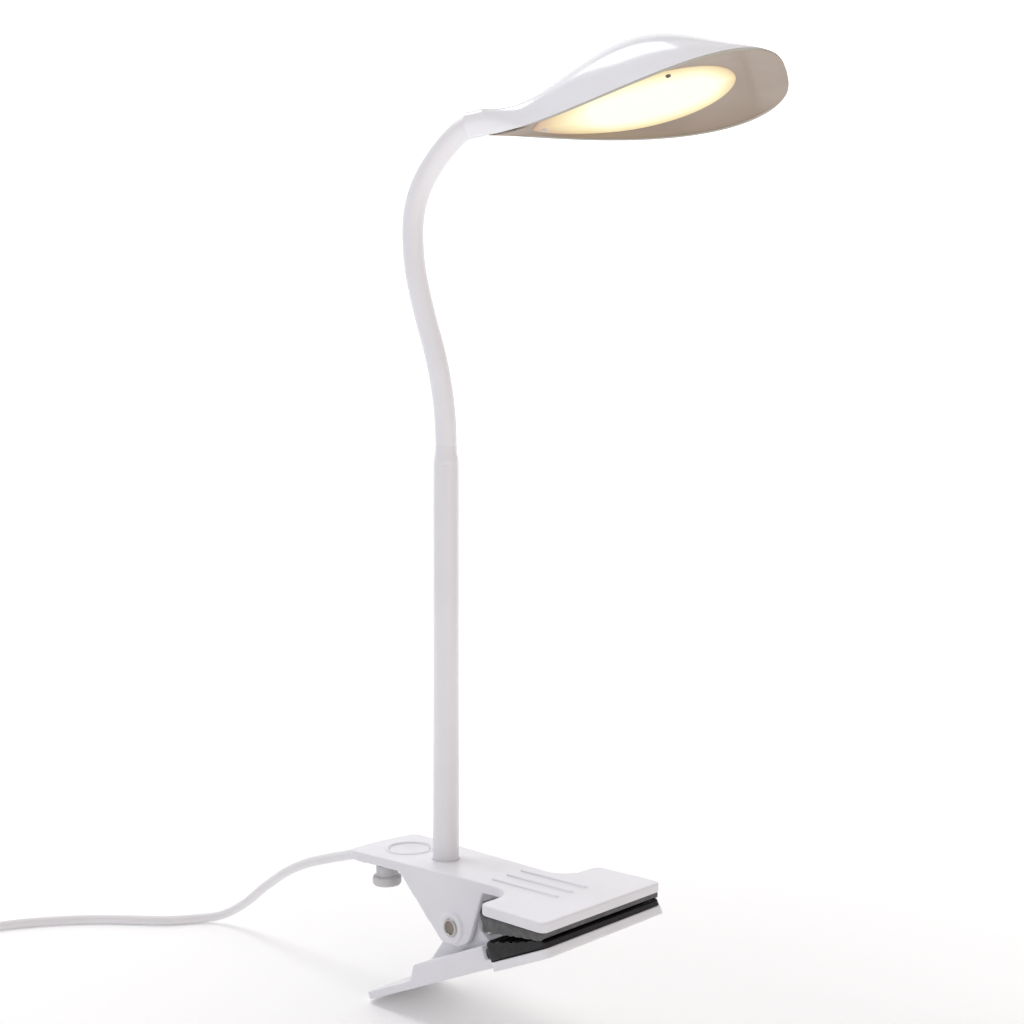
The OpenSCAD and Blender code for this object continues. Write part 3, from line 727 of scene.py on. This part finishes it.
def neck_skin(k):
    """Skin across joint k, from the middle of a link, or the ferrule, to that of the next, or the head."""
    step = 0.9
    s0 = LINK * (k - 0.5) if k else -step
    s1 = LINK * (k + 0.5) if k < LINKS else LINK * LINKS + 3.2
    n = max(8, round((s1 - s0) / step))
    path = [neck_point(s0 + (s1 - s0) * i / n) * MM for i in range(n + 1)]
    if k == LINKS:
        path = path[:n // 3 + 1] + into_head(path[n // 3], s0 + (s1 - s0) * (n // 3) / n)
    return sweep(f"neck_skin_{k + 1}", path, 0.0042, sides=48, caps=False)


for k in range(LINKS + 1):
    skin = neck_skin(k)
    covers = [f"neck_sleeve_{k}"] if k else []
    dress(skin, "neck", None, "neck_sleeve", *covers, smooth=0)
    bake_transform(skin)

# ---------------------------------------------------------------- tube and ferrule

up = Matrix.Translation((POLE_X, 0, 0))
tube_foot, tube_top, tube_bore, cone_steps = 4.0, 158.5, 4.2, 14
wall = [(tube_bore, tube_foot), (POLE_R, tube_foot), (POLE_R, tube_top), (tube_bore, tube_top)]
tube = lathe("pole_skin", round_profile(wall, [0.15, 0.08], 4), up, 72)
dress(tube, "tube", "clamp", "white_tube", "pole_tube", smooth=50)
cone = [(tube_bore, tube_top), (4.95, tube_top), (4.99, tube_top + 0.12)]
for k in range(cone_steps + 1):
    t = k / cone_steps
    cone.append((4.22 + 0.78 * (1 - t ** 2 * (3 - 2 * t)), 159.2 + 6.3 * t))
cone += [(4.22, NECK_FOOT - 0.1), (4.05, NECK_FOOT), (3.6, NECK_FOOT)]
dress(lathe("ferrule_skin", cone, up, 72), "tube", "clamp", "ferrule_plastic", "pole_ferrule", smooth=50)

# ---------------------------------------------------------------- clamp

upper = softened("upper_jaw_skin", "upper_jaw", 0.43, 2)
dress(upper, "clamp", "clamp", "white_plastic", "upper_jaw", smooth=0)
lower = softened("lower_jaw_skin", "lower_jaw", 0.43, 2)
dress(lower, "lever", "lower_lever", "lever_plastic", "lower_jaw", smooth=0)


def rib(name, y):
    """Low rounded grip bar on the plate's top, its foot just inside the plate."""
    rings, n, half_w, height, x0, x1, foot = [], 40, 1.0, 0.62, -32.6, -1.4, 7.9
    for i in range(n + 1):
        k = (1 - math.cos(math.pi * i / n)) / 2
        x = x0 + (x1 - x0) * k
        end = min(x - x0, x1 - x)
        w = half_w * math.sqrt(max(0.0, 1 - (1 - min(end / half_w, 1)) ** 2)) + 0.01
        h = height * (w / half_w) ** 0.7
        row = [(x, y - w, foot)]
        for a in (math.pi * j / 12 for j in range(13)):
            row.append((x, y - w * math.cos(a), PLATE_TOP + h * math.sin(a) ** 0.7))
        rings.append([Vector(p) * MM for p in row + [(x, y + w, foot)]])
    cols = len(rings[0])
    faces = grid_faces(n + 1, cols, close_cols=True) + end_caps(n + 1, cols)
    return new_mesh(name, [p for ring in rings for p in ring], faces)


for i, y in enumerate((-7.5, 0, 7.5)):
    dress(rib(f"grip_rib_{i + 1}", y), "clamp", "clamp", "white_plastic", smooth=60)

# Raised ring round the button
button_place = Matrix.Translation((BUTTON_X, 0, 0))
ring = [(8.55, 7.9)]
for a in (math.pi * k / 10 for k in range(11)):
    ring.append((9.2 - 0.62 * math.cos(a), PLATE_TOP + 0.5 * math.sin(a)))
ring.append((9.85, 7.9))
dress(lathe("button_ring", ring, button_place, 96), "clamp", "clamp", "white_plastic", smooth=60)

# Tray under the handle
cover = softened("base_cover_skin", "base_cover", 0.3, 3)
dress(cover, "cover", "clamp", "white_plastic", "base_cover", smooth=0)


def lengthwise(name, profile, place, half, rounds=1.2, steps=6):
    """Closed XZ profile carried along Y from -half to half, with softened ends."""
    n = len(profile)
    cx = sum(p[0] for p in profile) / n
    cz = sum(p[1] for p in profile) / n
    stations, middle = [], 12
    for a in (math.pi / 2 * k / steps for k in range(steps, -1, -1)):
        stations.append((-half + rounds * (1 - math.sin(a)), rounds * (1 - math.cos(a))))
    stations += [(-half + rounds + (2 * half - 2 * rounds) * k / middle, 0.0) for k in range(1, middle)]
    stations += [(-y, d) for y, d in stations[:steps + 1][::-1]]
    verts = []
    for y, d in stations:
        for x, z in profile:
            ux, uz = x - cx, z - cz
            kx = 1 - d / max(abs(ux), 3 * d, 1e-6) if abs(ux) > 0 else 1
            kz = 1 - d / max(abs(uz), 3 * d, 1e-6) if abs(uz) > 0 else 1
            verts.append(place @ Vector((cx + ux * kx, y, cz + uz * kz)) * MM)
    faces = grid_faces(len(stations), n, close_cols=True) + end_caps(len(stations), n)
    return new_mesh(name, verts, faces)


def grooves(x, z, slope, length, per_mm, pitch, depth):
    """Points of a grooved face from (x, z), falling or rising by slope, with waves a pitch apart."""
    out = []
    for run in (i / per_mm for i in range(length * per_mm + 1)):
        out.append((x + run, z + run * slope + depth * math.sin(2 * math.pi * run / pitch)))
    return out


top_pad = [(-15.2, 4.55), (-15.2, -0.9), (-14.9, -1.3), (-14.2, -1.5)]
top_pad += grooves(-13, -1.15, 0.152, 24, 4, 4, 0.25)
top_pad += [(12.2, 2.75), (12.6, 3.1), (12.6, 4.55)]
upper_pad = lengthwise("upper_pad_skin", top_pad, Matrix.Identity(4), 30.8)
dress(upper_pad, "pad_top", "clamp", "upper_rubber", "upper_pad")
low_pad = [(32.05, -13.95), (32.05, -8.0), (32.3, -7.6)]
low_pad += grooves(33, -7.3, -0.188, 24, 8, 4, 0.34)
low_pad += [(57.9, -12.0), (58.5, -12.4), (58.6, -13.95)]
lower_pad = lengthwise("lower_pad_skin", low_pad, LEVER, 30.7)
# Its much darker rubber is painted shade.
dress(lower_pad, "pad_low", "lower_lever", "lower_rubber", "lower_pad")

# Button with a shallow dish and a flange under the plate
dish = [(0, 7.72)] + [(7.0 * k / 10, 7.72 + 0.2 * (k / 10) ** 2) for k in range(1, 11)]
dish += [(7.5, 7.93), (7.9, 7.8), (8.0, 7.5), (8.0, 6.5), (9.1, 6.5), (9.1, 6.15)]
dish += [(1.2, 6.15), (1.2, 6.02), (0, 6.02)]
button = lathe("button_skin", dish, button_place, 72)
dress(button, "button", "button", "button_plastic", "switch_button", smooth=40)

# Stops under the handle
SIDES = (("near", -1), ("far", 1))
shank = [(0, 3.35), (4.25, 3.35), (4.25, -0.7)]
foot = [(5.25, -0.75), (5.6, -1.4), (5.55, -3.6), (5.0, -4.35), (3.4, -4.4), (3.0, -3.9), (0, -3.9)]
for where, side in SIDES:
    stop_place = Matrix.Translation((POLE_X - 23, 10 * side, 0))
    stop = lathe(f"stop_{where}", round_profile(shank + foot, 0.45, 4), stop_place, 48)
    dress(stop, "bumper", "clamp", "bumper_plastic", *(["stop_bumpers"] if side < 0 else []), smooth=40)

# Hollow rivet with rolled heads, and a dark disc just inside each end of its bore, as painted shade down the
# hollow
axis = Matrix.Translation(PIVOT) @ Matrix.Rotation(math.radians(-90), 4, "X")
rolled = [(2.3, -16.0), (2.5, -16.3), (2.8, -16.32), (3.25, -16.12), (3.38, -15.85), (3.3, -15.62)]
rolled.append((2.5, -15.6))
rivet = rolled + [(2.5, 15.6)] + [(r, -z) for r, z in rolled[::-1][1:]] + [(2.3, 16.0), (2.3, -16.0)]
dress(lathe("rivet_skin", rivet, axis, 56), "steel", "clamp", "rivet_steel", "hinge_rivet", smooth=40)
for where, side in SIDES:
    core = [(r, z * side) for r, z in ((0, 15.75), (1.7, 15.7), (2.29, 15.9), (2.29, 14.6), (0, 14.6))]
    dress(lathe(f"rivet_shade_disc_{where}", core, axis, 40), "brass", "clamp", "rivet_steel", smooth=40)

# Clamp spring: round wire, one leg held by the plate and the coil round the rivet
SPRING_R, SPRING_PITCH, SPRING_TURNS, PER_TURN = 4.7, 1.85, 8.5, 24
wire = [Vector((POLE_X - 6, -8.4, 3.6)), Vector((POLE_X + 4, -8.4, 0.6))]
for i in range(int(SPRING_TURNS * PER_TURN) + 1):
    a = math.radians(100 + i * 360 / PER_TURN)
    y = -7.8 + SPRING_PITCH * i / PER_TURN
    wire.append(Vector((PIVOT.x + SPRING_R * math.cos(a), y, PIVOT.z + SPRING_R * math.sin(a))))
leg = [wire[-1], wire[-1] + Vector((-3.4, 0.05, -3.6)), Vector((PIVOT.x - 14, 8.2, PIVOT.z - 13)),
       Vector((PIVOT.x - 24, 8.4, -32.5))]


def spring_wire(name, points):
    """Wire of the spring's thickness along points in mm."""
    return sweep(name, resample([p * MM for p in points], 0.0009), 0.00075, sides=12)


dress(spring_wire("spring_skin", wire), "spring", "clamp", "spring_steel", "jaw_spring", smooth=60)
# The free leg presses on the lever and turns with it about the coil's own axis
dress(spring_wire("spring_leg", leg), "spring", "lower_lever", "spring_steel", smooth=60)

# ---------------------------------------------------------------- cord's ends

boot = round_profile([(0, -0.2), (2.55, -0.2), (2.55, 4.6), (2.2, 4.8), (2.02, 4.9)], 0.3, 3)
place = Matrix.Translation((-99.6, -11, 4.4)) @ Matrix.Rotation(math.radians(-90), 4, "Y")
grommet = lathe("grommet_skin", boot, place, 40)
dress(grommet, "cord", "clamp", "cord_pvc", "cord_grommet", smooth=50)


def rounded_box(name, lo, hi, r, place, levels):
    """Box from corner lo to corner hi with edges rounded to r."""
    bm = bmesh.new()
    bmesh.ops.create_cube(bm, size=1)
    size = Vector(hi) - Vector(lo)
    mid = (Vector(hi) + Vector(lo)) / 2
    for v in bm.verts:
        v.co = Vector((v.co.x * size.x, v.co.y * size.y, v.co.z * size.z)) + mid
    bmesh.ops.bevel(bm, geom=list(bm.edges), offset=r, segments=levels, profile=0.5, affect="EDGES")
    for v in bm.verts:
        v.co = place @ v.co * MM
    mesh = bpy.data.meshes.new(name)
    bm.to_mesh(mesh)
    bm.free()
    return place_object(name, mesh)


plug = Matrix.Translation((-338, -147, -46.9)) @ Matrix.Rotation(math.radians(-90), 4, "Y")
# Ribbed strain relief: it widens towards the grip, with a groove at two steps of every four
relief, relief_steps, groove = [(1.9, -0.02)], 16, 0.28
for k in range(relief_steps + 1):
    grooved = k % 4 in (1, 2) and 1 < k < relief_steps - 1
    relief.append((2.3 + 0.6 * k / relief_steps - (groove if grooved else 0), 8.2 * k / relief_steps))
relief.append((2.0, 8.3))
grip = rounded_box("plug_grip_skin", (-2.4, -7.6, 8), (5.1, 7.6, 28), 1.5, plug, 4)
dress(grip, "cord", "clamp", "plug_plastic", "plug_grip", smooth=50)
boot_2 = lathe("plug_relief_skin", relief, plug, 40)
dress(boot_2, "cord", "clamp", "plug_plastic", smooth=50)


def plug_tube():
    """Folded steel sleeve of the plug, open at both ends."""
    outer = [(-0.9, -6), (3.6, -6), (3.6, 6), (-0.9, 6)]
    inner = [(-0.6, -5.7), (3.3, -5.7), (3.3, 5.7), (-0.6, 5.7)]
    verts, z0, z1 = [], 28.0, 40.0
    for z in (z0, z1):
        verts += [(x, y, z) for x, y in outer] + [(x, y, z) for x, y in inner]
    faces = []
    for j in range(4):
        k = (j + 1) % 4
        faces += [(j, k, 8 + k, 8 + j), (4 + k, 4 + j, 12 + j, 12 + k)]
        faces += [(8 + j, 8 + k, 12 + k, 12 + j), (k, j, 4 + j, 4 + k)]
    obj = new_mesh("plug_sleeve", [plug @ Vector(v) * MM for v in verts], faces)
    edge = obj.modifiers.new("edge", "BEVEL")
    edge.width = 0.00022
    edge.segments = 3
    return with_modifiers(obj)


dress(plug_tube(), "steel", "clamp", "plug_steel", "plug_shell", smooth=40)
tongue = rounded_box("plug_tongue_skin", (-0.6, -5.5, 28.4), (1.2, 5.5, 38.8), 0.25, plug, 2)
dress(tongue, "black", "clamp", "plug_insulator", "plug_tongue", smooth=40)
for k in range(4):
    y = 2.4 * k
    contact = rounded_box(f"contact_{k + 1}", (1.2, -4.2 + y, 29), (1.35, -3.0 + y, 38), 0.05, plug, 1)
    dress(contact, "steel", "clamp", "plug_steel", smooth=40)


def tie_band():
    """Flat band wrapped once round the coil's section, at the side away from the lead."""
    x0, x1, z0, z1 = COIL.x - 30.9, COIL.x - 14.1, FLOOR + 0.02, FLOOR + 8.4
    loop = round_profile([(x0, z0 + 4), (x0, z1), (x1, z1), (x1, z0), (x0, z0), (x0, z0 + 3.99)], 2.0, 6)
    verts, half_width, thickness = [], 3.0, 0.35
    cx, cz = (x0 + x1) / 2, (z0 + z1) / 2
    for x, z in loop:
        inwards = Vector((cx - x, cz - z)).normalized() * thickness
        for y, k in ((-1, 0), (1, 0), (1, 1), (-1, 1)):
            verts.append(Vector((x + inwards.x * k, COIL.y + half_width * y, z + inwards.y * k)) * MM)
    return new_mesh("tie_band", verts, grid_faces(len(loop), 4, close_cols=True), weld=2e-6)


band = tie_band()
dress(band, "tie", "clamp", "tie_plastic", "cord_tie", smooth=40)

# ---------------------------------------------------------------- CAD nodes that stay as they are

for node, key in {
    "cover_screws": "steel", "control_board": "board", "snap_dome": "spring", "pole_nipple": "steel",
    "pole_washer": "steel", "pole_nut": "steel", "pole_lead": "wire", "head_lead": "wire",
    "led_board": "board_white", "leds": "phosphor", "heat_spreader": "alu",
    **{f"neck_core_{k}": "spring" for k in range(1, 7)},
}.items():
    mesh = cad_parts[node].data
    mesh.materials.clear()
    mesh.materials.append(M[key])

# ---------------------------------------------------------------- stage and light


def painted_glow_paper():
    """White paper that glows as painted light: faintly near the object, so its shadow shows, and more so away
    from it.
    """
    m, t, bsdf = tree("paper")
    tint = ramp(t, noise(t, 3, 3), [(0.3, (0.95, 0.95, 0.95)), (0.7, (0.96, 0.96, 0.96))])
    t.links.new(tint, bsdf.inputs["Base Color"])
    t.links.new(spread(t, noise(t, 40, 2), 0.8, 0.9), bsdf.inputs["Roughness"])
    bsdf.inputs["Specular IOR Level"].default_value = 0.1
    bsdf.inputs["Emission Color"].default_value = (1, 1, 1, 1)
    coord = t.nodes.new("ShaderNodeTexCoord")
    far = add(t, "ShaderNodeVectorMath", operation="LENGTH")
    t.links.new(coord.outputs["Object"], far.inputs[0])
    # Emission on the floor is painted light, rising with distance from the object.
    glow = map_range(t, far.outputs["Value"], 0.12, 1.0, 0.07, 0.52)
    t.links.new(glow, bsdf.inputs["Emission Strength"])
    return m


def paper_sweep():
    """Floor that curves up into a wall behind the object, square to the camera; metres."""
    half, wall_at, wall_top, bend, steps, gap = 6.0, 3.0, 5.0, 1.0, 16, 0.0002
    profile = [(-half, 0.0), (wall_at - bend, 0.0)]
    for a in (math.pi / 2 * k / steps for k in range(1, steps + 1)):
        profile.append((wall_at - bend + bend * math.sin(a), bend * (1 - math.cos(a))))
    profile.append((wall_at, wall_top))
    turn = Matrix.Rotation(CAMERA_TURN, 4, "Z")
    verts = [turn @ Vector((x, d, FLOOR * MM - gap + h)) for d, h in profile for x in (-half, half)]
    return new_mesh("floor", verts, grid_faces(len(profile), 2))


floor = paper_sweep()
floor.data.materials.append(painted_glow_paper())
floor.data.polygons.foreach_set("use_smooth", [True] * len(floor.data.polygons))


def white_dome():
    """Dome round the whole scene, from just under the floor to the top; metres."""
    r, rows, cols, lowest = 11, 17, 48, -4
    verts = []
    for a in (math.radians(lowest + (90 - lowest) * i / (rows - 1)) for i in range(rows)):
        out, up = r * math.cos(a), r * math.sin(a)
        for b in (2 * math.pi * j / cols for j in range(cols)):
            verts.append(Vector((out * math.cos(b), out * math.sin(b), up)))
    return new_mesh("dome", verts, grid_faces(rows, cols, close_cols=True), weld=1e-4)


# Only the camera sees the dome, so every side has the same plain background
dome = white_dome()
dome_material, t, bsdf = tree("dome_white")
dome_tint = ramp(t, noise(t, 1, 2), [(0.3, (1, 1, 1)), (0.7, (0.995, 0.995, 0.995))])
t.links.new(dome_tint, bsdf.inputs["Emission Color"])
bsdf.inputs["Emission Strength"].default_value = 0.84
dome.data.materials.append(dome_material)
dome.visible_diffuse = dome.visible_glossy = dome.visible_transmission = False
dome.visible_volume_scatter = dome.visible_shadow = False

# Soft light all round: cool at the camera's left, brightest in the middle, warm at its right
world = bpy.data.worlds.new("studio")
scene.world = world
world.use_nodes = True
sky = world.node_tree
background = sky.nodes["Background"]
direction = sky.nodes.new("ShaderNodeTexCoord")
across = add(sky, "ShaderNodeVectorMath", operation="DOT_PRODUCT")
across.inputs[1].default_value = (0.726, 0.688, 0.0)
sky.links.new(direction.outputs["Generated"], across.inputs[0])
sky_colour = ramp(sky, map_range(sky, across.outputs["Value"], -1.0, 1.0, 0.0, 1.0), [
    (0.0, (0.42, 0.42, 0.44)), (0.45, (0.58, 0.58, 0.60)),
    (0.72, (0.46, 0.43, 0.41)), (1.0, (0.34, 0.30, 0.27))])
sky.links.new(sky_colour, background.inputs["Color"])
background.inputs["Strength"].default_value = 1.1


def area(name, at, aim, side, power, colour=(1, 1, 1)):
    """Square area light of a side in metres, at a point and aimed at another."""
    light = bpy.data.lights.new(name, "AREA")
    light.shape = "RECTANGLE"
    light.size = light.size_y = side
    light.energy = power
    light.color = colour
    obj = place_object(name, light)
    obj.location = at
    obj.rotation_euler = (Vector(aim) - Vector(at)).to_track_quat("-Z", "Y").to_euler()


LAMP_MIDDLE = (0, 0, 0.1)
area("key", (-1.0, -0.35, 2.3), LAMP_MIDDLE, 0.9, 13.5)
area("top", (0.1, 0.2, 1.3), LAMP_MIDDLE, 0.7, 0.6)
area("warm_fill", (1.0, -0.25, 0.35), LAMP_MIDDLE, 0.8, 1.1, (1.0, 0.84, 0.70))

scene.view_settings.view_transform = "Standard"
scene.view_settings.look = "None"
scene.view_settings.exposure = 0
scene.view_settings.gamma = 1
